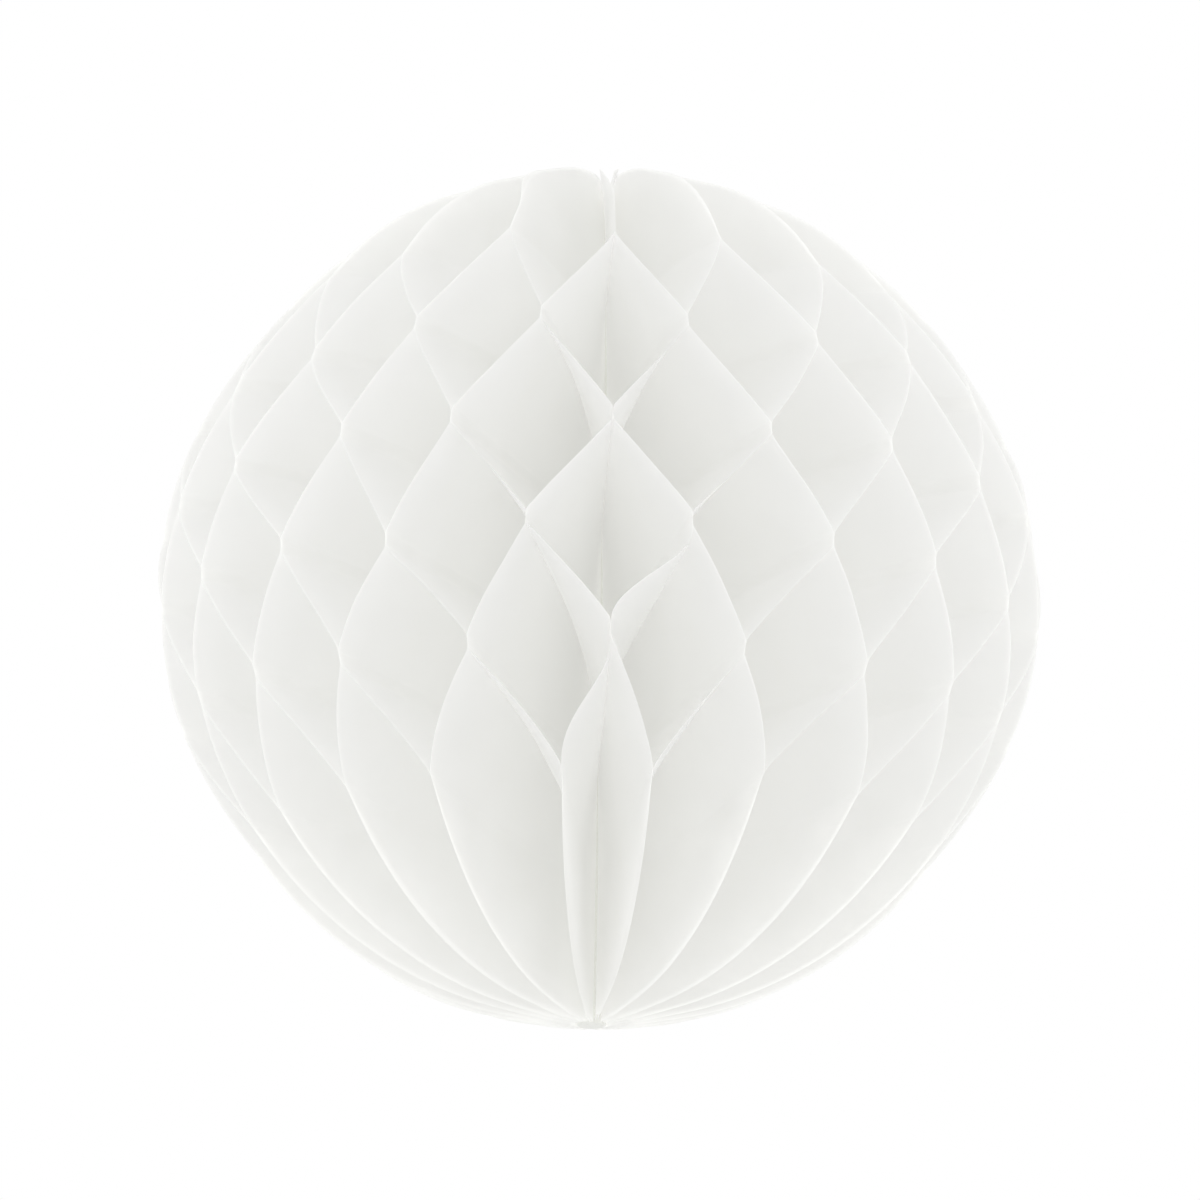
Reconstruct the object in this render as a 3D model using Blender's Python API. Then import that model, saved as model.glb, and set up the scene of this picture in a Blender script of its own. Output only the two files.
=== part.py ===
"""Honeycomb ball of white tissue paper, hung by the end of its spine.

Half-round tissue sheets stand around an upright spine like the pages of a book that is opened until its first
page meets its last. They are cut a little fuller than a half disc, because opened paper draws in towards the
middle, and the ball comes out round. Rows of narrow glue stripes join each sheet to one neighbour and then, a
row lower, to its other neighbour, so the opened paper folds into a honeycomb of lozenge cells.

Metres, +Z up along the spine, origin at the middle of the ball, front of the ball towards -Y. A glued pair of
the top row faces the front.
"""

import math

import bmesh
import bpy
import numpy as np

# Driving dimensions
BALL_RADIUS = 0.050  # from the axis to the round edge of a flat sheet, at its middle
POLE_HEIGHT = 0.0485  # from the middle of a flat sheet to the top of its outline
OUTLINE_POWER = 2.2  # of the superellipse that the round edge follows; 2 cuts an ellipse, more cuts fuller
SHEET_PAIRS = 20
ROW_PITCH = 0.01345  # from one row of glue stripes to the next, along the spine of a flat sheet
GLUE_WIDTH = 0.0014  # of one glue stripe, along the spine
SHEET_THICKNESS = 0.0001
GLUE_GAP = 0.0002  # between the faces of two glued sheets
SHEET_TIP = 0.0006  # width of a sheet where it is cut off square at the poles
SPINE_CLEARANCE = 0.0003  # between the spine and the bound edges of the sheets
SPINE_STUB = 0.0006  # of the spine that stands out past the sheets at each pole
SPINE_CHAMFER = 0.0002

# Mesh resolution
REACH_STEPS = 3  # across a sheet, from its bound edge to its round edge
SLOPE_STEPS = 2  # along the spine, between two rows of glue
POLE_STEPS = 3  # along the round edge, from the last stripe to the pole
SPINE_SIDES = 24
ARC_SAMPLES = 60  # points per step where the paper's length is added up

SHEETS = 2 * SHEET_PAIRS
SHEET_TURN = 2 * math.pi / SHEETS  # from one sheet to the next, around the spine
BOUND_RADIUS = (SHEET_THICKNESS + GLUE_GAP) / SHEET_TURN  # where the packed bound edges just fill the circle
SPINE_RADIUS = BOUND_RADIUS - SPINE_CLEARANCE
SLOPE_LENGTH = ROW_PITCH - GLUE_WIDTH  # of the free paper between two rows
TIP_SHARE = (BOUND_RADIUS + SHEET_TIP) / BALL_RADIUS
TIP_HEIGHT = POLE_HEIGHT * (1 - TIP_SHARE**OUTLINE_POWER) ** (1 / OUTLINE_POWER)

TISSUE = {"name": "white_tissue", "colour": (0.93, 0.935, 0.915, 1.0), "roughness": 0.9}
BINDING = {"name": "spine_glue", "colour": (0.86, 0.865, 0.84, 1.0), "roughness": 0.7}


def glue_rows():
    """Heights of the glue rows on a flat sheet, from the top one down, as many as the sheet has whole pitches."""
    half_rows = math.floor(POLE_HEIGHT / ROW_PITCH)
    return [(half_rows - 0.5 - row) * ROW_PITCH for row in range(2 * half_rows)]


def sheet_lines():
    """Heights on the flat sheet where its folds and outline need points, from the bottom up, and the lean there.

    The lean is 1 where the sheet is glued to its next neighbour and -1 where it is glued to the one before.
    """
    half_stripe = GLUE_WIDTH / 2
    lines = []
    for row, height in enumerate(glue_rows()):
        lean = 1 if row % 2 == 0 else -1
        if row:
            for step in range(1, SLOPE_STEPS):
                share = step / SLOPE_STEPS
                lines.append((height + half_stripe + SLOPE_LENGTH * (1 - share), lean * (2 * share - 1)))
        lines += [(height + half_stripe, lean), (height - half_stripe, lean)]
    last_angle, tip_angle = (
        math.asin((height / POLE_HEIGHT) ** (OUTLINE_POWER / 2)) for height in (lines[0][0], TIP_HEIGHT)
    )
    for step in range(1, POLE_STEPS + 1):
        angle = last_angle + (tip_angle - last_angle) * step / POLE_STEPS
        height = POLE_HEIGHT * math.sin(angle) ** (2 / OUTLINE_POWER)
        lines = [(height, lines[0][1]), *lines, (-height, lines[-1][1])]
    return [height for height, _ in reversed(lines)], [lean for _, lean in reversed(lines)]


def sloping_paper(heights, leans):
    """Length of sloping paper between the sheet's middle and each line, negative below the middle."""
    steps = np.diff(heights) * (np.diff(leans) != 0)
    along = np.concatenate([[0.0], np.cumsum(steps)])
    return along - along[-1] / 2


def opened_sheet(side):
    """Points of one opened sheet, as rows by columns by 3, on a sheet whose bound edge stands at the angle 0.

    The paper keeps its length: where it slopes across by the turn between two sheets it rises less, so a line
    at the distance q from the bound edge is drawn in by 1 - sqrt(1 - (q * turn / slope length) ** 2), and what
    that line rises or falls on the way out is taken from its reach. side is 1, or -1 for the mirrored sheet.
    """
    heights, leans = (np.array(values) for values in sheet_lines())
    sloping = sloping_paper(heights, leans)[:, None]
    outline = (1 - (np.abs(heights) / POLE_HEIGHT) ** OUTLINE_POWER) ** (1 / OUTLINE_POWER)
    reach = BALL_RADIUS * outline - BOUND_RADIUS
    q = reach[:, None] * np.linspace(0.0, 1.0, REACH_STEPS * ARC_SAMPLES + 1)
    slant = q * SHEET_TURN / SLOPE_LENGTH
    cosine = np.sqrt(1.0 - slant**2)
    z = heights[:, None] - sloping * (1.0 - cosine)
    fall = sloping * slant * SHEET_TURN / SLOPE_LENGTH / cosine
    run = np.sqrt(1.0 - fall**2)
    steps = np.diff(q, axis=1) * (run[:, 1:] + run[:, :-1]) / 2
    out = np.concatenate([np.zeros((len(heights), 1)), np.cumsum(steps, axis=1)], axis=1)
    angle = side * leans[:, None] * SHEET_TURN / 2
    points = np.stack([BOUND_RADIUS + out * np.cos(angle), out * np.sin(angle), z], axis=2)
    return points[:, ::ARC_SAMPLES]


def make_material(name, colour, roughness):
    """A Principled material of one colour."""
    material = bpy.data.materials.new(name)
    material.use_nodes = True
    shader = material.node_tree.nodes["Principled BSDF"]
    shader.inputs["Base Color"].default_value = colour
    shader.inputs["Roughness"].default_value = roughness
    shader.inputs["Metallic"].default_value = 0.0
    return material


def sheet_mesh(name, side, material):
    """Mid-surface of one opened sheet as a mesh of triangles."""
    grid = opened_sheet(side)
    rows, columns = grid.shape[:2]
    triangles = []
    for row in range(rows - 1):
        for column in range(columns - 1):
            low, high = row * columns + column, (row + 1) * columns + column
            triangles += [(low, low + 1, high + 1), (low, high + 1, high)]
    mesh = bpy.data.meshes.new(name)
    mesh.from_pydata(grid.reshape(-1, 3).tolist(), [], triangles)
    mesh.materials.append(material)
    return mesh


def add_sheets(parent, material):
    """The sheets, in turn around the spine, each with its thickness from a Solidify modifier."""
    meshes = [sheet_mesh("sheet_folding_back", -1, material), sheet_mesh("sheet_folding_on", 1, material)]
    front = -math.pi / 2
    for index in range(SHEETS):
        sheet = bpy.data.objects.new(f"tissue_sheet_{index + 1:02d}", meshes[index % 2])
        bpy.context.collection.objects.link(sheet)
        sheet.parent = parent
        sheet.rotation_euler.z = front + (index + 0.5) * SHEET_TURN
        wall = sheet.modifiers.new("paper_thickness", "SOLIDIFY")
        wall.thickness = SHEET_THICKNESS
        wall.offset = 0.0
        wall.use_even_offset = True
        wall.use_rim = True


def add_spine(parent, material):
    """The glued spine: a plain round bar with flat, chamfered ends that stand out past the sheets."""
    bm = bmesh.new()
    bmesh.ops.create_cone(
        bm,
        cap_ends=True,
        segments=SPINE_SIDES,
        radius1=SPINE_RADIUS,
        radius2=SPINE_RADIUS,
        depth=2 * (TIP_HEIGHT + SPINE_STUB),
    )
    rims = [edge for edge in bm.edges if edge.verts[0].co.z * edge.verts[1].co.z > 0]
    bmesh.ops.bevel(bm, geom=rims, offset=SPINE_CHAMFER, segments=1, affect="EDGES")
    mesh = bpy.data.meshes.new("spine_binding")
    bm.to_mesh(mesh)
    bm.free()
    mesh.shade_smooth()
    mesh.set_sharp_from_angle(angle=math.radians(30))
    mesh.materials.append(material)
    spine = bpy.data.objects.new("spine_binding", mesh)
    bpy.context.collection.objects.link(spine)
    spine.parent = parent


def main():
    """Clear the scene and build the ball under one empty."""
    for existing in list(bpy.data.objects):
        bpy.data.objects.remove(existing, do_unlink=True)
    ball = bpy.data.objects.new("honeycomb_ball", None)
    bpy.context.collection.objects.link(ball)
    add_spine(ball, make_material(**BINDING))
    add_sheets(ball, make_material(**TISSUE))


main()
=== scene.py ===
"""Looks of a white honeycomb ball of tissue paper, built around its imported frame.

Forty half-round tissue sheets stand around a glued spine. Rows of narrow glue stripes join each sheet to
one neighbour and, a row lower, to the other one, so the opened paper folds into a honeycomb of lozenge
cells. Each sheet is worked out here from its flat cut and its glue rows, as thin paper with its own small
bends, and stands for the plain sheet of the frame. Metres, +Z up along the spine, front towards -Y.
"""

import logging
import math
from collections.abc import Mapping
from dataclasses import dataclass, field
from enum import Enum

import bpy
import numpy as np
from mathutils import Matrix, Vector

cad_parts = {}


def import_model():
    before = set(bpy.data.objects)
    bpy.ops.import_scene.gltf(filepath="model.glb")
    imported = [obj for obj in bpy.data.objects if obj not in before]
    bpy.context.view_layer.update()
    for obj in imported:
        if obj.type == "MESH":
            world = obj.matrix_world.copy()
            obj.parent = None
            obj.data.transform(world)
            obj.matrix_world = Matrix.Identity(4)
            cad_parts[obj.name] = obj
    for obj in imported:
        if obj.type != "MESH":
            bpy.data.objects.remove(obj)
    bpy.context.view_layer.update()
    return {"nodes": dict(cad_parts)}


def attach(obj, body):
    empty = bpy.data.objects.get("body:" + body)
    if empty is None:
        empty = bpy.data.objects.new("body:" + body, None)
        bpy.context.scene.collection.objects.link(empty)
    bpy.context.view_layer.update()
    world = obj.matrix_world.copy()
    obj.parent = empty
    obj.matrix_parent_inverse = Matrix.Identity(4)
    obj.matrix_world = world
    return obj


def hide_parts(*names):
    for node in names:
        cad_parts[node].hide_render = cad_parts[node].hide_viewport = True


LOG = logging.getLogger("honeycomb_ball")
BODY = "root"
MM = 0.001
FINE = 4001  # samples along a sheet where its folds are worked out
BLACK = (0.0, 0.0, 0.0, 1.0)
WHITE = (1.0, 1.0, 1.0, 1.0)

Array = np.ndarray
Colour = tuple[float, float, float, float]
Settings = Mapping[str, object]
Inputs = Mapping[str | int, object]


class Facing(Enum):
    """Which neighbour a sheet is glued to along a row: the next one around the spine, or the one before."""

    NEXT = 1
    BEFORE = -1


class Slot(Enum):
    """Material slots of the record."""

    TISSUE = "white_tissue"
    SPINE = "spine_glue"


# Shader maths


@dataclass(frozen=True)
class Wire:
    """A number in a shader. Python's operators on it add Math nodes."""

    graph: "Graph"
    socket: bpy.types.NodeSocket

    def math(self, operation: str, *others: "Wire | float", swapped: bool = False) -> "Wire":
        """Add one Math node.

        Args:
            operation: the node's operation.
            others: its further values, as wires or numbers.
            swapped: put this wire second.

        Returns:
            The node's result.
        """
        values = [self, *others]
        if swapped:
            values.reverse()
        node = self.graph.node("ShaderNodeMath", {"operation": operation}, dict(enumerate(values)))
        return Wire(self.graph, node.outputs[0])

    def __add__(self, other: "Wire | float") -> "Wire":
        """Sum."""
        return self.math("ADD", other)

    __radd__ = __add__

    def __sub__(self, other: "Wire | float") -> "Wire":
        """Difference."""
        return self.math("SUBTRACT", other)

    def __rsub__(self, other: float) -> "Wire":
        """Difference from a number."""
        return self.math("SUBTRACT", other, swapped=True)

    def __mul__(self, other: "Wire | float") -> "Wire":
        """Product."""
        return self.math("MULTIPLY", other)

    __rmul__ = __mul__

    def __abs__(self) -> "Wire":
        """Size without sign."""
        return self.math("ABSOLUTE")

    def ramp(self, start: float, end: float) -> "Wire":
        """Smooth step of this number.

        Args:
            start: where the step is still 0.
            end: where it has come to 1.

        Returns:
            The step's value.
        """
        settings = {"interpolation_type": "SMOOTHSTEP"}
        values = {"Value": self, "From Min": start, "From Max": end}
        return Wire(self.graph, self.graph.node("ShaderNodeMapRange", settings, values).outputs["Result"])


@dataclass(frozen=True)
class Graph:
    """The nodes of one material or world."""

    tree: bpy.types.NodeTree

    def node(self, kind: str, settings: Settings, inputs: Inputs) -> bpy.types.Node:
        """Add a node, set it up and feed it.

        Args:
            kind: the node's type.
            settings: its properties, set before its sockets.
            inputs: values, wires or sockets by the socket's name or number.

        Returns:
            The new node.
        """
        node = self.tree.nodes.new(kind)
        for name, value in settings.items():
            setattr(node, name, value)
        for key, value in inputs.items():
            socket = node.inputs[key]
            if isinstance(value, Wire):
                self.tree.links.new(value.socket, socket)
            elif isinstance(value, bpy.types.NodeSocket):
                self.tree.links.new(value, socket)
            else:
                socket.default_value = value
        return node

    def noise(self, place: bpy.types.NodeSocket, size: float, detail: float, roughness: float = 0.5) -> Wire:
        """Cloudy noise from 0 to 1 whose patches are about the given size in metres across."""
        inputs = {"Vector": place, "Scale": 1 / size, "Detail": detail, "Roughness": roughness}
        return Wire(self, self.node("ShaderNodeTexNoise", {}, inputs).outputs["Fac"])

    def tint(self, share: Wire, low: Colour | bpy.types.NodeSocket, high: Colour) -> bpy.types.NodeSocket:
        """Mix of two colours, low where share is 0 and high where it is 1."""
        return self.node("ShaderNodeMix", {"data_type": "RGBA"}, {0: share, 6: low, 7: high}).outputs[2]


# Finishes


@dataclass(frozen=True)
class TissueFinish:
    """White tissue that light shines through: cloudy, with a painted highlight at the cut edge, faint painted
    crease shade on each stripe and a painted glow.

    Each zone gives where a look starts to change and where the change is complete. The spine's and the outer
    zone are distances from the spine as shares of the ball's radius. The rim's are values of the superellipse
    that the round edge follows, 0 in the middle of the spine and 1 at the round edge.
    """

    colour: Colour = (0.915, 0.915, 0.909, 1.0)
    thin_colour: Colour = (0.945, 0.945, 0.941, 1.0)
    # painted highlight: the cut edge is whiter than the paper
    painted_highlight_colour: Colour = (0.97, 0.97, 0.966, 1.0)
    # painted crease shade: the glue stripes a little darker
    painted_crease_shade_colour: Colour = (0.90, 0.90, 0.89, 1.0)
    painted_crease_shade_share: float = 0.05  # of the painted crease shade on a stripe
    glue_border: tuple[float, float] = (0.38, 0.62)  # distance from a row, in stripe widths
    # Painted glow: the paper gives off light of its own, more next to the spine, towards the round edge and
    # in the cut edge, less on the stripes
    painted_glow_colour: Colour = (1.0, 1.0, 0.965, 1.0)
    painted_glow_strength: float = 0.3  # full strength of the painted glow, an emission that stands in for light coming through many layers of tissue
    painted_glow_inside: float = 0.475  # share of it all over the sheet
    painted_glow_spine: float = 0.08  # more of it next to the spine, painted light in the deep of the cells
    painted_glow_rim: float = 0.16  # more of it towards the round edge
    painted_glow_edge: float = 0.35  # more of it in the cut edge, with the painted highlight
    painted_glow_glued: float = 0.97  # share that is left where two sheets are glued
    spine_zone: tuple[float, float] = (0.04, 0.25)
    rim_zone: tuple[float, float] = (0.8, 1.0)
    outer_zone: tuple[float, float] = (0.1, 0.6)
    roughness: float = 0.85
    specular: float = 0.15
    see_through: float = 0.5
    cloud: float = 6 * MM
    cloud_zone: tuple[float, float] = (0.3, 0.7)  # of the noise, from thick to thin paper
    fibre: float = 0.7 * MM
    fibre_height: float = 0.012 * MM
    fibre_strength: float = 0.5
    edge_width: float = 0.45 * MM
    edge_full: float = 0.3  # share of that width where the painted highlight is full

    def material(self, name: str, cut: "SheetCut") -> bpy.types.Material:
        """Build the material.

        Args:
            name: the material's name.
            cut: the flat sheet, whose sizes the piece's UV map is scaled by.

        Returns:
            A material that reads Object coordinates and the sheet's UV map.
        """
        material = bpy.data.materials.new(name)
        material.use_nodes = True
        graph = Graph(material.node_tree)
        graph.tree.nodes.clear()
        place = graph.node("ShaderNodeTexCoord", {}, {})
        flat = graph.node("ShaderNodeSeparateXYZ", {}, {0: place.outputs["UV"]})
        out, along = (Wire(graph, flat.outputs[axis]) for axis in ("X", "Y"))
        along = along * 2 - 1
        cloud = graph.noise(place.outputs["Object"], self.cloud, detail=3.0, roughness=0.6)
        fibre = graph.noise(place.outputs["Object"], self.fibre, detail=1.0, roughness=0.7)
        colour = graph.tint(cloud.ramp(*self.cloud_zone), self.colour, self.thin_colour)
        glued = self.stripes(along, cut)
        # Painted crease shade: each glue stripe is tinted a little darker
        colour = graph.tint(glued * self.painted_crease_shade_share, colour, self.painted_crease_shade_colour)
        rim = out.math("POWER", cut.power) + abs(along).math("POWER", cut.power)
        # Painted highlight: a thin band along the cut edge is whiter
        band = cut.power * self.edge_width / cut.radius
        edge = rim.ramp(1 - band, 1 - band * self.edge_full)
        colour = graph.tint(edge, colour, self.painted_highlight_colour)
        bump = graph.node(
            "ShaderNodeBump",
            {},
            {"Strength": self.fibre_strength, "Distance": self.fibre_height, "Height": fibre},
        )
        # Painted glow: emission that lights the paper from within, stronger next to the spine, towards the
        # round edge and at the cut edge
        share = (1 - out.ramp(*self.spine_zone)) * self.painted_glow_spine + self.painted_glow_inside
        share = share + rim.ramp(*self.rim_zone) * out.ramp(*self.outer_zone) * self.painted_glow_rim
        share = share + edge * self.painted_glow_edge
        share = share * (1 - glued * (1 - self.painted_glow_glued))
        painted_glow = graph.tint(share, BLACK, self.painted_glow_colour)
        paper = graph.node(
            "ShaderNodeBsdfPrincipled",
            {},
            {
                "Base Color": colour,
                "Roughness": self.roughness,
                "Specular IOR Level": self.specular,
                # painted glow
                "Emission Color": painted_glow,
                "Emission Strength": self.painted_glow_strength,
                "Normal": bump.outputs[0],
            },
        )
        glow = graph.node("ShaderNodeBsdfTranslucent", {}, {"Color": self.thin_colour})
        both = graph.node(
            "ShaderNodeMixShader",
            {},
            {0: self.see_through, 1: paper.outputs[0], 2: glow.outputs[0]},
        )
        graph.node("ShaderNodeOutputMaterial", {}, {"Surface": both.outputs[0]})
        return material

    def stripes(self, along: Wire, cut: "SheetCut") -> Wire:
        """1 on the glue stripes and 0 between them.

        The height along the spine is folded by the row pitch, so its distance from the nearest row is left,
        and a smooth step around half the stripe's width makes the stripe.

        Args:
            along: height on the flat sheet, from -1 to 1.
            cut: the flat sheet.

        Returns:
            The stripes as a mask.
        """
        rows = (along * (cut.pole_height / cut.row_pitch) + cut.rows / 2).math("FRACT")
        off = abs(rows - 0.5) * (cut.row_pitch / cut.glue_width)
        return 1 - off.ramp(*self.glue_border)


@dataclass(frozen=True)
class SpineFinish:
    """The glued stack of bound paper edges, with a faint painted glow."""

    colour: Colour = (0.94, 0.945, 0.915, 1.0)
    dark_colour: Colour = (0.89, 0.895, 0.86, 1.0)
    # painted glow: the spine gives off a little light, so the crease at the spine does not go dark
    painted_glow_strength: float = 0.06
    roughness: float = 0.7
    layer: float = 0.35 * MM
    layer_height: float = 0.05 * MM
    layer_strength: float = 0.6
    blotch: float = 1.6 * MM
    blotch_share: float = 0.4
    blotch_zone: tuple[float, float] = (0.35, 0.65)  # of the mixed noise, from dark to pale

    def material(self, name: str) -> bpy.types.Material:
        """Build the material: glue-soaked paper in fine layers, with a faint painted glow.

        Args:
            name: the material's name.

        Returns:
            A material that reads Object coordinates.
        """
        material = bpy.data.materials.new(name)
        material.use_nodes = True
        graph = Graph(material.node_tree)
        graph.tree.nodes.clear()
        place = graph.node("ShaderNodeTexCoord", {}, {})
        layers = graph.noise(place.outputs["Object"], self.layer, detail=3.0)
        blotch = graph.noise(place.outputs["Object"], self.blotch, detail=2.0)
        mixed = layers * (1 - self.blotch_share) + blotch * self.blotch_share
        colour = graph.tint(mixed.ramp(*self.blotch_zone), self.dark_colour, self.colour)
        bump = graph.node(
            "ShaderNodeBump",
            {},
            {"Strength": self.layer_strength, "Distance": self.layer_height, "Height": layers},
        )
        paper = graph.node(
            "ShaderNodeBsdfPrincipled",
            {},
            {
                "Base Color": colour,
                "Roughness": self.roughness,
                # painted glow in the spine's own colour
                "Emission Color": self.colour,
                "Emission Strength": self.painted_glow_strength,
                "Normal": bump.outputs[0],
            },
        )
        graph.node("ShaderNodeOutputMaterial", {}, {"Surface": paper.outputs[0]})
        return material


# The paper


def smooth_step(way: Array) -> Array:
    """0 up to a way of 0, 1 from a way of 1, and 3t^2 - 2t^3 between them."""
    way = np.clip(way, 0.0, 1.0)
    return way**2 * (3 - 2 * way)


@dataclass(frozen=True)
class SheetCut:
    """One flat half-round sheet and where it is glued. Lengths in metres.

    The round edge is a superellipse, (distance / radius)^power + (height / pole_height)^power = 1.
    """

    radius: float = 50 * MM
    pole_height: float = 48.5 * MM
    power: float = 2.2
    row_pitch: float = 13.45 * MM
    rows: int = 6
    glue_width: float = 1.4 * MM
    bound_pitch: float = 0.3 * MM  # from one sheet to the next around the spine
    tip: float = 0.6 * MM  # width of the sheet where it is cut off at the poles
    sheets: int = 40
    stripe_lines: int = 4  # mesh lines across a stripe
    slope_lines: int = 17  # and from one stripe to the next
    pole_lines: int = 25  # and past the last stripe

    @property
    def turn(self) -> float:
        """Angle from one sheet to the next around the spine."""
        return 2 * math.pi / self.sheets

    @property
    def bound_radius(self) -> float:
        """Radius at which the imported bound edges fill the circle."""
        return self.bound_pitch / self.turn

    @property
    def slope(self) -> float:
        """Free paper between two rows of glue, along the spine."""
        return self.row_pitch - self.glue_width

    @property
    def tip_height(self) -> float:
        """Height of the square-cut tip above the middle."""
        share = (self.bound_radius + self.tip) / self.radius
        return self.pole_height * (1 - share**self.power) ** (1 / self.power)

    def reach(self, heights: Array) -> Array:
        """Width of the flat sheet outside its bound edge, at any heights."""
        share = np.abs(heights) / self.pole_height
        return self.radius * (1 - share**self.power) ** (1 / self.power) - self.bound_radius

    @property
    def row_heights(self) -> Array:
        """Heights of the glue rows on the flat sheet, from the bottom up."""
        return (np.arange(self.rows) - (self.rows - 1) / 2) * self.row_pitch

    @property
    def area(self) -> float:
        """Flat area: the integral of the round edge's distance from the bound edge."""
        heights = np.linspace(-self.tip_height, self.tip_height, FINE)
        return float(self.reach(heights).mean() * 2 * self.tip_height)

    def lines(self) -> Array:
        """Heights of the mesh lines on the flat sheet.

        They lie even across each stripe, by a cosine between two stripes, which sets them closer together
        next to the folds, and even in the superellipse's angle past the last stripe.

        Returns:
            The heights, from the bottom up.
        """
        half = self.glue_width / 2
        ease = (1 - np.cos(np.linspace(0, math.pi, self.slope_lines))) / 2
        rows = self.row_heights
        parts = [np.linspace(row - half, row + half, self.stripe_lines) for row in rows]
        parts += [low + half + ease[1:-1] * self.slope for low in rows[:-1]]
        ends = np.array([rows[-1] + half, self.tip_height]) / self.pole_height
        last, tip = np.arcsin(ends ** (self.power / 2))
        angles = np.linspace(last, tip, self.pole_lines + 1)[1:]
        pole = self.pole_height * np.sin(angles) ** (2 / self.power)
        return np.sort(np.concatenate([*parts, pole, -pole]))


@dataclass(frozen=True)
class Corner:
    """One glued corner that lies away from its even place.

    Rows count from 1 at the top. Columns count half cells from the front, to the right.
    """

    row: int
    column: int
    turn_deg: float
    rise_mm: float = 0.0


@dataclass(frozen=True)
class Splay:
    """How one sheet parts from its neighbour past its last glue, towards the pole.

    Its lean is given up by the share times a smooth step of the way to the pole, from start to end.
    """

    sheet: int
    share: float
    start: float
    end: float


@dataclass(frozen=True)
class Sag:
    """A wall that keeps its lean below a row for a share of the slope, and then folds over."""

    sheet: int
    row: int
    start: float


@dataclass(frozen=True)
class Irregular:
    """How far the opened paper strays from an even honeycomb. Angles in degrees, lengths in metres."""

    seed: int = 11
    sheet_seed: int = 1000  # of the first sheet's own waves; each next sheet's is one more
    turn_spread: float = 0.5  # of where two sheets meet, around the spine
    rise_spread: float = 0.3 * MM  # of how high the corner lies on the round edge
    rise_power: float = 1.5  # by which that height grows from the spine out
    crowding: float = 2.2  # the sheets stand this much nearer the front at both sides
    splay: float = 0.2  # at most, of any sheet towards the poles
    splay_power: float = 0.8  # by which it grows on the way there
    top_splays: tuple[Splay, ...] = (
        Splay(37, 1.1, 0.1, 0.85),
        Splay(38, -1.3, 0.1, 0.85),
        Splay(39, 1.0, 0.3, 0.95),
        Splay(0, 0.9, 0.6, 0.95),
    )
    crown_front: float = 2.2 * MM  # the upper ends stand up around the spine, most at the front
    crown_back: float = 1.2 * MM
    crown_width: float = 19 * MM
    notch: float = 0.6  # share of the crown that is missing right at the spine
    notch_width: float = 2.2 * MM
    tucked: tuple[int, ...] = (39, 0)  # the pair that parts at the front stands lower there
    tuck: float = 1.3 * MM
    foot: float = 0.35 * MM  # the lower ends reach down around the spine
    foot_width: float = 8 * MM
    sags: tuple[Sag, ...] = (Sag(0, 4, 0.12), Sag(39, 5, 0.12))
    corners: tuple[Corner, ...] = (
        Corner(1, -4, -0.2, 0.1),
        Corner(1, -2, 1.3, 1.2),
        Corner(1, 0, 0.2, 0.2),
        Corner(1, 2, -0.7, 0.6),
        Corner(1, 4, 0.0, 0.0),
        Corner(2, -5, 1.2, -0.2),
        Corner(2, -3, 0.3, 0.8),
        Corner(2, -1, -0.5, 0.8),
        Corner(2, 1, 0.5, 0.3),
        Corner(2, 3, 0.7, 0.4),
        Corner(2, 5, -0.8, 1.2),
        Corner(3, -4, 1.2, 0.3),
        Corner(3, -2, -1.6, 0.2),
        Corner(3, 0, -0.1, 0.0),
        Corner(3, 2, 1.2, -0.4),
        Corner(3, 4, 0.7, 0.6),
        Corner(4, -5, 0.9, 0.0),
        Corner(4, -3, -0.7, -1.7),
        Corner(4, -1, -1.1, -0.2),
        Corner(4, 1, 0.5, 0.0),
        Corner(4, 3, 0.7, -0.4),
        Corner(4, 5, -0.5, 0.2),
        Corner(5, -4, -0.8, -0.9),
        Corner(5, -2, 0.0, -0.8),
        Corner(5, 0, 0.2, 0.6),
        Corner(5, 2, -0.5, -0.8),
        Corner(5, 4, -0.3, -1.0),
        Corner(6, -3, -0.8, 0.3),
        Corner(6, -1, 2.4, 0.6),
        Corner(6, 1, -1.6, 0.5),
        Corner(6, 3, -1.3, 1.3),
        Corner(6, 5, 0.0, 0.6),
    )
    ease: float = 0.12  # at most, of a wall's way between two rows, from a straight line to a smooth step
    bend_radius: float = 0.6 * MM  # where the paper leaves a stripe
    crinkle: float = 0.03 * MM  # height of each of the small waves
    crinkle_waves: int = 5
    crinkle_length: tuple[float, float] = (7 * MM, 22 * MM)
    bow: float = 0.1 * MM  # spread of how far the paper bows at its round edge between two rows


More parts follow.
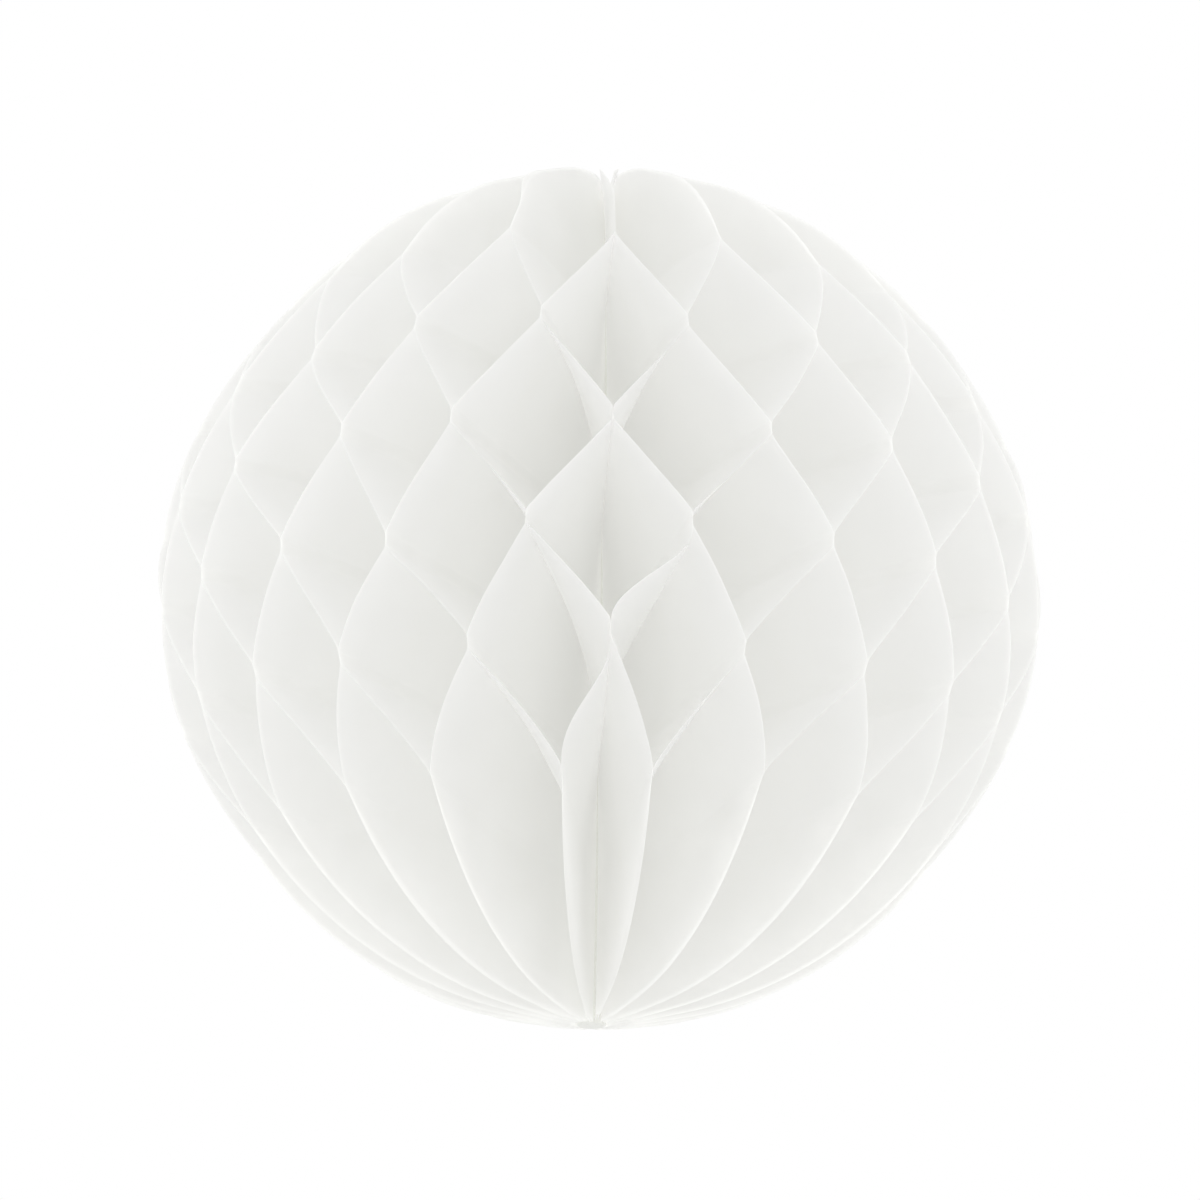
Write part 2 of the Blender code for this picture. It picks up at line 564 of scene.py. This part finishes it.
@dataclass
class FoldPlan:
    """Where every sheet leans, row by row, with the ball's small irregularities."""

    cut: SheetCut
    stray: Irregular
    rng: np.random.Generator = field(init=False)
    turns: Array = field(init=False)
    rises: Array = field(init=False)
    ease: Array = field(init=False)
    splays: Array = field(init=False)

    def __post_init__(self) -> None:
        """Draw the irregularities once, in a fixed order, then set the corners that are known."""
        self.rng = np.random.default_rng(self.stray.seed)
        shape = (self.cut.rows, self.cut.sheets)
        self.turns = self.rng.normal(0.0, self.stray.turn_spread, shape)
        self.rises = self.rng.normal(0.0, self.stray.rise_spread, shape)
        self.ease = self.rng.uniform(0.0, self.stray.ease, shape)
        self.splays = self.rng.uniform(0.0, self.stray.splay, (2, self.cut.sheets))
        for corner in self.stray.corners:
            place = self.cut.rows - corner.row, (corner.column - 1) % self.cut.sheets
            self.turns[place], self.rises[place] = corner.turn_deg, corner.rise_mm * MM

    def stands_at(self, place: float) -> float:
        """Angle around the spine of a place given in turns from the front.

        At the sides everything stands nearer the front by the crowding times the cube of the sine.
        """
        even = place * self.cut.turn
        return -math.pi / 2 + even - math.radians(self.stray.crowding) * math.sin(even) ** 3

    def facing(self, sheet: int, row: int) -> Facing:
        """Which neighbour the sheet is glued to at a row, counted from the bottom.

        In the top row the last sheet meets the first at the front, so odd sheets face their next neighbour
        there, and every row down swaps.
        """
        from_top = self.cut.rows - 1 - row
        return Facing.NEXT if (sheet + from_top) % 2 else Facing.BEFORE

    def meetings(self, sheet: int) -> tuple[Array, Array]:
        """Where one sheet meets its neighbours, row by row from the bottom up.

        Args:
            sheet: the sheet's number, from 0.

        Returns:
            Its corners' lean angles about the bound edge, and their rises.
        """
        leans, rises = [], []
        for row in range(self.cut.rows):
            side = self.facing(sheet, row)
            pair = sheet if side is Facing.NEXT else (sheet - 1) % self.cut.sheets
            meeting = self.stands_at(sheet + 0.5 + side.value / 2) + math.radians(self.turns[row, pair])
            leans.append(meeting - self.stands_at(sheet + 0.5))
            rises.append(self.rises[row, pair])
        return np.array(leans), np.array(rises)

    def lean_along(self, sheet: int, heights: Array) -> Array:
        """Lean angle of one sheet at any heights of the flat sheet.

        It is constant on a stripe, goes to the next row's lean in a straight line that eases in and out by a
        share of the smooth step 3t^2 - 2t^3, and is averaged over the bend radius. A sagging wall takes the
        whole smooth step, over what is left of the slope. Past the last rows the sheet splays.

        Args:
            sheet: the sheet's number, from 0.
            heights: where to read it.

        Returns:
            The angles in radians.
        """
        cut, leans = self.cut, self.meetings(sheet)[0]
        half = cut.glue_width / 2
        sagging = {cut.rows - sag.row - 1: sag.start for sag in self.stray.sags if sag.sheet == sheet}
        fine = np.linspace(-cut.pole_height, cut.pole_height, FINE)
        lean = np.full_like(fine, leans[0])
        for row in range(cut.rows - 1):
            share = np.clip((fine - cut.row_heights[row] - half) / cut.slope, 0.0, 1.0)
            if row in sagging:
                share = smooth_step(share / (1 - sagging[row]))
            else:
                share += self.ease[row, sheet] * (smooth_step(share) - share)
            lean += (leans[row + 1] - leans[row]) * share
        last = cut.row_heights[-1] + half
        past = np.clip((np.abs(fine) - last) / (cut.tip_height - last), 0.0, 1.0)
        lower, upper = self.splays[:, sheet, None] * past**self.stray.splay_power
        for top in self.stray.top_splays:
            if top.sheet == sheet:
                upper = top.share * smooth_step((past - top.start) / (top.end - top.start))
        splay = np.where(fine > 0, upper, lower)
        return np.interp(heights, fine, self.rounded(lean * (1 - splay), fine))

    def rounded(self, values: Array, fine: Array) -> Array:
        """Average values over a raised-cosine window that is twice the bend radius wide.

        Args:
            values: what to average.
            fine: the even heights that they belong to.

        Returns:
            The averages, at the same heights.
        """
        step = fine[1] - fine[0]
        count = 2 * int(round(self.stray.bend_radius / step)) + 1
        window = np.hanning(count + 2)[1:-1]
        padded = np.pad(values, count // 2, mode="edge")
        return np.convolve(padded, window / window.sum(), mode="valid")

    def sloping(self, heights: Array) -> Array:
        """Length of sloping paper between the sheet's middle and each height.

        It is the running sum of a mask that is 1 between the stripes and 0 on them and past the last ones,
        averaged over the bend.

        Args:
            heights: where to read it.

        Returns:
            The lengths, negative below the middle.
        """
        cut = self.cut
        fine = np.linspace(-cut.pole_height, cut.pole_height, FINE)
        off = np.abs(fine[:, None] - cut.row_heights).min(axis=1)
        inside = np.abs(fine) < cut.row_heights[-1]
        slopes = self.rounded(((off > cut.glue_width / 2) & inside).astype(float), fine)
        along = np.cumsum(slopes) * (fine[1] - fine[0])
        return np.interp(heights, fine, along - np.interp(0.0, fine, along))

    def between_rows(self, heights: Array) -> Array:
        """How free the paper is: a squared sine that is 0 on every row and 1 half way between two rows.

        Args:
            heights: where to read it.

        Returns:
            Its values, 0 past the last rows.
        """
        cut = self.cut
        phase = (heights - cut.row_heights[0]) / cut.row_pitch
        wave = np.sin(np.pi * phase) ** 2
        return np.where(np.abs(heights) < cut.row_heights[-1], wave, 0.0)


@dataclass
class TissueSheet:
    """One opened sheet of the ball."""

    number: int
    plan: FoldPlan
    columns: int = 27
    column_power: float = 1.25  # sets the columns closer together towards the round edge
    hem_columns: int = 4
    glue_squeeze: float = 0.145 * MM  # how far each glued sheet is pressed towards its partner
    hem: float = 2.5 * MM  # of the bound edge that is bent over onto the next sheet
    hem_share: float = 0.4  # of the sheet's width, which the hem's own columns take up at most
    free_from: float = 6 * MM  # distance from the spine past which the paper is free to wave

    @property
    def name(self) -> str:
        """Name of the frame's node that this sheet stands for."""
        return f"tissue_sheet_{self.number + 1:02d}"

    def surface(self) -> tuple[Array, Array]:
        """Middle surface of the opened paper.

        A point q out from the bound edge, at height h on the flat sheet, leans by the fold plan's angle about
        the bound edge. Sloping paper rises by sqrt(1 - (q * turn / slope)^2) of its length, and the reach is
        what is left of q after that line's own fall. Each corner's own rise grows as a power of q, the crown
        lifts the ends, and small waves push the paper sideways between the rows.

        Returns:
            Points as lines by columns by 3, and flat coordinates as lines by columns by 2, in 0 to 1.
        """
        plan, cut = self.plan, self.plan.cut
        heights = cut.lines()
        sloping = plan.sloping(heights)[:, None]
        reach = cut.reach(heights)[:, None]
        share = 1 - (1 - np.linspace(0.0, 1.0, self.columns - self.hem_columns)) ** self.column_power
        hem = np.minimum(self.hem, self.hem_share * reach)
        q = np.hstack([hem * np.linspace(0.0, 1.0, self.hem_columns + 1)[:-1], hem + (reach - hem) * share])
        slant = q * cut.turn / cut.slope
        cosine = np.sqrt(1 - slant**2)
        rises = np.interp(
            heights,
            [-cut.tip_height, *cut.row_heights, cut.tip_height],
            [0.0, *plan.meetings(self.number)[1], 0.0],
        )
        z = heights[:, None] - sloping * (1 - cosine)
        fall = sloping * slant * cut.turn / cut.slope / cosine
        run = np.sqrt(1 - fall**2)
        steps = np.diff(q, axis=1) * (run[:, 1:] + run[:, :-1]) / 2
        out = np.concatenate([np.zeros((len(heights), 1)), np.cumsum(steps, axis=1)], axis=1)
        z = z + rises[:, None] * (q / reach) ** plan.stray.rise_power + self.crown(heights, q)
        lean = np.broadcast_to(plan.lean_along(self.number, heights)[:, None], q.shape)
        base = plan.stands_at(self.number + 0.5)
        angle = base + lean
        sideways = self.sideways(heights, q, reach, lean)
        x = cut.bound_radius * math.cos(base) + out * np.cos(angle) - sideways * np.sin(angle)
        y = cut.bound_radius * math.sin(base) + out * np.sin(angle) + sideways * np.cos(angle)
        across = (q + cut.bound_radius) / cut.radius
        along = np.broadcast_to((heights[:, None] / cut.pole_height + 1) / 2, q.shape)
        return np.stack([x, y, z], axis=2), np.stack([across, along], axis=2)

    def crown(self, heights: Array, q: Array) -> Array:
        """Lift of the sheet's ends.

        It comes in by a smooth step past the last rows. The upper end's lift goes from the back's to the
        front's by the cosine of the angle, falls off by a smooth step from the spine out, and has a small
        notch at the spine. The lower end reaches down in the same way, without a notch.

        Args:
            heights: of the lines on the flat sheet.
            q: distance of each point from the bound edge.

        Returns:
            How far each point is lifted.
        """
        stray, cut = self.plan.stray, self.plan.cut
        last = cut.row_heights[-1] + cut.glue_width / 2
        past = smooth_step((np.abs(heights) - last) / (cut.tip_height - last))[:, None]
        front = (1 + math.cos((self.number + 0.5) * cut.turn)) / 2
        lift = stray.crown_back + (stray.crown_front - stray.crown_back) * front
        lift -= stray.tuck * (self.number in stray.tucked)
        top, foot = (smooth_step(1 - q / width) for width in (stray.crown_width, stray.foot_width))
        top = top * (1 - stray.notch * np.clip(1 - q / stray.notch_width, 0.0, 1.0) ** 2)
        return past * np.where(heights[:, None] > 0, lift * top, -stray.foot * foot)

    def sideways(self, heights: Array, q: Array, reach: Array, lean: Array) -> Array:
        """Sideways push of the paper.

        Glued partners are pressed together in proportion to their lean, the bound edge is bent over by a
        squared fall within the hem, and between the rows a sum of sine waves and a bow that grows with the
        distance from the spine push the paper out of its plane.

        Args:
            heights: of the lines on the flat sheet.
            q: distance of each point from the bound edge.
            reach: width of the flat sheet at each line.
            lean: lean angle of each point.

        Returns:
            How far each point is pushed towards the next sheet.
        """
        plan, cut = self.plan, self.plan.cut
        rng = np.random.default_rng(plan.stray.sheet_seed + self.number)
        free = plan.between_rows(heights)[:, None]
        far = np.clip(q / self.free_from, 0.0, 1.0)
        wave = np.zeros_like(q)
        for _ in range(plan.stray.crinkle_waves):
            length = rng.uniform(*plan.stray.crinkle_length)
            tilt, phase = rng.uniform(0, 2 * math.pi, 2)
            way = q * math.cos(tilt) + heights[:, None] * math.sin(tilt)
            wave += np.sin(2 * math.pi / length * way + phase)
        rows = cut.row_heights
        bows = rng.normal(0.0, plan.stray.bow, len(rows) + 1)
        bow = bows[np.clip(np.searchsorted(rows, heights), 0, len(rows))][:, None]
        share = q / reach
        press = self.glue_squeeze * far * lean / (cut.turn / 2)
        press = press + cut.bound_pitch * np.clip(1 - q / self.hem, 0.0, 1.0) ** 2
        return press + free * far * (plan.stray.crinkle * wave + bow * share)

    def build(self) -> bpy.types.Object:
        """Make the sheet's mesh, with its flat coordinates as UV map."""
        points, flat = self.surface()
        return grid_object(f"tissue_{self.number + 1:02d}", points, flat)


def grid_object(name: str, points: Array, flat: Array) -> bpy.types.Object:
    """Make an object from a grid of points.

    Args:
        name: the object's name.
        points: lines by columns by 3.
        flat: UV coordinates, lines by columns by 2.

    Returns:
        A smooth-shaded mesh object of quads, one between each four neighbouring points.
    """
    lines, columns = points.shape[:2]
    corner = np.arange(lines * columns).reshape(lines, columns)
    quads = np.stack([corner[:-1, :-1], corner[:-1, 1:], corner[1:, 1:], corner[1:, :-1]], axis=2)
    quads = quads.reshape(-1, 4)
    mesh = bpy.data.meshes.new(name)
    mesh.vertices.add(lines * columns)
    mesh.vertices.foreach_set("co", points.astype(np.float32).ravel())
    mesh.loops.add(quads.size)
    mesh.loops.foreach_set("vertex_index", quads.astype(np.int32).ravel())
    mesh.polygons.add(len(quads))
    mesh.polygons.foreach_set("loop_start", np.arange(0, quads.size, 4, dtype=np.int32))
    mesh.update(calc_edges=True)
    mesh.polygons.foreach_set("use_smooth", np.ones(len(quads), dtype=bool))
    layer = mesh.uv_layers.new(name="flat_sheet")
    layer.data.foreach_set("uv", flat.reshape(-1, 2)[quads.ravel()].astype(np.float32).ravel())
    mesh.validate()
    piece = bpy.data.objects.new(name, mesh)
    bpy.context.collection.objects.link(piece)
    return piece


@dataclass
class HoneycombBall:
    """All the tissue sheets around the spine."""

    cut: SheetCut = field(default_factory=SheetCut)
    stray: Irregular = field(default_factory=Irregular)
    finish: TissueFinish = field(default_factory=TissueFinish)

    def build(self) -> list[bpy.types.Object]:
        """Make and dress every sheet, attach it to the body and hide the frame's node that it stands for.

        Returns:
            The sheets, in turn around the spine.
        """
        plan = FoldPlan(self.cut, self.stray)
        tissue = self.finish.material("white_tissue_paper", self.cut)
        width, length = self.cut.radius - self.cut.bound_radius, 2 * self.cut.tip_height
        pieces = []
        for number in range(self.cut.sheets):
            sheet = TissueSheet(number, plan)
            piece = sheet.build()
            piece.data.materials.append(tissue)
            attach(piece, BODY)
            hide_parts(sheet.name)
            self.cut.area
            pieces.append(piece)
        return pieces


@dataclass(frozen=True)
class Spine:
    """The glued spine, which stays as the frame has it and gets its finish."""

    node: str = "spine_binding"
    finish: SpineFinish = field(default_factory=SpineFinish)

    def dress(self, node: bpy.types.Object) -> None:
        """Put the finish on the given node of the frame."""
        node.data.materials.clear()
        node.data.materials.append(self.finish.material("glued_paper_edges"))


# Studio


@dataclass(frozen=True)
class PhotoView:
    """Where the photograph was taken from, in pixels of its 1200 by 1200 frame, degrees and ball radii."""

    frame_px: float = 1200.0
    radius_px: float = 438.7
    centre_px: tuple[float, float] = (598.9, 599.8)
    below_deg: float = 16.3
    turn_deg: float = -1.35
    roll_deg: float = 1.04
    distance_radii: float = 8.5
    clip_radii: tuple[float, float] = (0.1, 100.0)
    sensor: float = 36.0

    def build(self, centre: Vector, radius: float) -> bpy.types.Object:
        """Make the scene's camera.

        The ball's middle is put at its pixel by aiming beside it by that pixel's distance from the frame's
        middle, at the ball's own scale.

        Args:
            centre: middle of the ball.
            radius: its radius in metres.

        Returns:
            The camera.
        """
        metre_px = radius / self.radius_px
        distance = self.distance_radii * radius
        low, side = math.radians(self.below_deg), math.radians(self.turn_deg)
        back = Vector((math.sin(side) * math.cos(low), -math.cos(side) * math.cos(low), -math.sin(low)))
        roll = Matrix.Rotation(math.radians(self.roll_deg), 3, "Z")
        turned = (-back).to_track_quat("-Z", "Y").to_matrix() @ roll
        right, up = turned.col[0], turned.col[1]
        middle = self.frame_px / 2
        aside = right * (middle - self.centre_px[0]) - up * (middle - self.centre_px[1])
        place = centre + back * distance
        aim = centre + aside * metre_px - place
        data = bpy.data.cameras.new("photo_view")
        data.sensor_width = self.sensor
        data.lens = self.sensor / 2 / (middle * metre_px / distance)
        data.clip_start, data.clip_end = (radius * clip for clip in self.clip_radii)
        camera = bpy.data.objects.new("photo_view", data)
        camera.rotation_mode = "QUATERNION"
        camera.location = place
        camera.rotation_quaternion = (aim.to_track_quat("-Z", "Y").to_matrix() @ roll).to_quaternion()
        bpy.context.collection.objects.link(camera)
        bpy.context.scene.camera = camera
        return camera


@dataclass(frozen=True)
class Studio:
    """Plain soft light all round, brighter from behind, a wide soft lamp above, and a pale floor below."""

    sky_front: float = 0.72
    sky_back: float = 0.96
    sky_change: tuple[float, float] = (-0.8, 0.8)  # from front to back, along the ball's Y
    bounces: int = 10  # light goes through and between many sheets of white paper
    lamp_watts: float = 0.35
    lamp_size: float = 0.6
    lamp_place: tuple[float, float, float] = (-0.1, -0.2, 0.75)
    floor_drop: float = 0.32
    floor_side: float = 6.0
    floor_colour: Colour = (0.95, 0.95, 0.94, 1.0)
    floor_roughness: float = 0.9

    def build(self) -> None:
        """Make the world, the lamp and the floor, and set the plain view transform."""
        scene = bpy.context.scene
        scene.view_settings.view_transform = "Standard"
        scene.cycles.max_bounces = scene.cycles.diffuse_bounces = self.bounces
        scene.world = self.world()
        lamp = bpy.data.lights.new("soft_lamp", "AREA")
        lamp.energy, lamp.size = self.lamp_watts, self.lamp_size
        light = bpy.data.objects.new("soft_lamp", lamp)
        light.location = self.lamp_place
        light.rotation_mode = "QUATERNION"
        light.rotation_quaternion = (-light.location).to_track_quat("-Z", "Y")
        bpy.context.collection.objects.link(light)
        self.floor()

    def world(self) -> bpy.types.World:
        """White to the camera and in clear reflections, pale grey to the light that the paper spreads.

        Returns:
            The scene's world.
        """
        world = bpy.data.worlds.new("soft_white")
        world.use_nodes = True
        graph = Graph(world.node_tree)
        graph.tree.nodes.clear()
        path = graph.node("ShaderNodeLightPath", {}, {})
        kinds = ("Camera", "Glossy", "Transmission", "Diffuse")
        camera, glossy, through, spread = (Wire(graph, path.outputs[f"Is {kind} Ray"]) for kind in kinds)
        seen = (camera + (glossy + through) * (1 - spread)).math("MINIMUM", 1.0)
        way = graph.node("ShaderNodeTexCoord", {}, {}).outputs["Generated"]
        depth = Wire(graph, graph.node("ShaderNodeSeparateXYZ", {}, {0: way}).outputs["Y"])
        sky = depth.ramp(*self.sky_change) * (self.sky_back - self.sky_front) + self.sky_front
        strength = sky + seen * (1 - sky)
        background = graph.node("ShaderNodeBackground", {}, {"Color": WHITE, "Strength": strength})
        graph.node("ShaderNodeOutputWorld", {}, {"Surface": background.outputs[0]})
        return world

    def floor(self) -> bpy.types.Object:
        """Lay a plain pale floor: an even grid at one height.

        Returns:
            The floor's object.
        """
        half = self.floor_side / 2
        side = np.linspace(-half, half, 3)
        x, y = np.meshgrid(side, side)
        points = np.stack([x, y, np.full_like(x, -self.floor_drop)], axis=2)
        floor = grid_object("studio_floor", points, (points[..., :2] + half) / self.floor_side)
        material = bpy.data.materials.new("pale_floor")
        material.use_nodes = True
        shader = material.node_tree.nodes["Principled BSDF"]
        shader.inputs["Base Color"].default_value = self.floor_colour
        shader.inputs["Roughness"].default_value = self.floor_roughness
        floor.data.materials.append(material)
        return floor


def main() -> None:
    """Build the dressed ball around the frame."""
    logging.basicConfig(level=logging.INFO, format="%(name)s: %(message)s")
    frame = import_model()
    ball = HoneycombBall()
    PhotoView().build(Vector((0, 0, 0)), ball.cut.radius)
    for piece in ball.build():
        LOG.info("%s: %d faces", piece.name, len(piece.data.polygons))
    spine = Spine()
    spine.dress(frame["nodes"][spine.node])
    LOG.info("%s: finish from %s", spine.node, Slot.SPINE.value)
    Studio().build()


if __name__ == "__main__":
    main()
